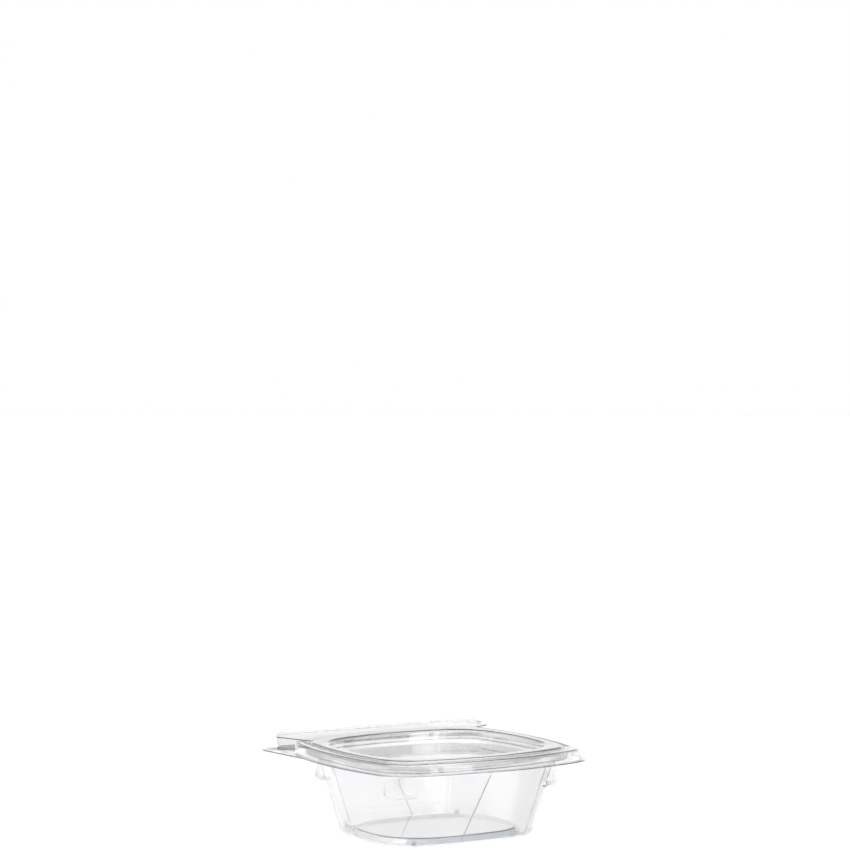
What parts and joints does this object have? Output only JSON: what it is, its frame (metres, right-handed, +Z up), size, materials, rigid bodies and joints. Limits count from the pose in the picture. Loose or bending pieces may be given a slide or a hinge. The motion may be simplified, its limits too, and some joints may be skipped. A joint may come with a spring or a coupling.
{
  "type": "hinged deli container",
  "caption": "Clear thermoformed deli tub, rounded square, with a flat recessed lid shut inside a guard bead and a tear-off hinge strip along the back.",
  "frame": {"origin": "middle of the tub's foot, on the plane that it stands on", "axes": "+X along the hinge, +Y from the middle of the tub to the hinge, +Z up"},
  "size_m": [0.1274, 0.1367, 0.0434],
  "materials": {
    "clear_tub": "clear, glossy",
    "clear_lid": "clear, glossy",
    "clear_strip": "clear, glossy"
  },
  "bodies": {
    "tub": {"tub": "clear_tub"},
    "strip": {"tear_strip": "clear_strip"},
    "lid": {"lid": "clear_lid"}
  },
  "joints": [
    {"name": "strip_fold", "type": "hinge", "parent": "tub", "child": "strip", "pos_m": [0, 0.066, 0.03703], "axis": [-1, 0, 0], "range_deg": [0, 90]},
    {"name": "lid_fold", "type": "hinge", "parent": "strip", "child": "lid", "pos_m": [0, 0.066, 0.04258], "axis": [-1, 0, 0], "range_deg": [0, 90]}
  ]
}
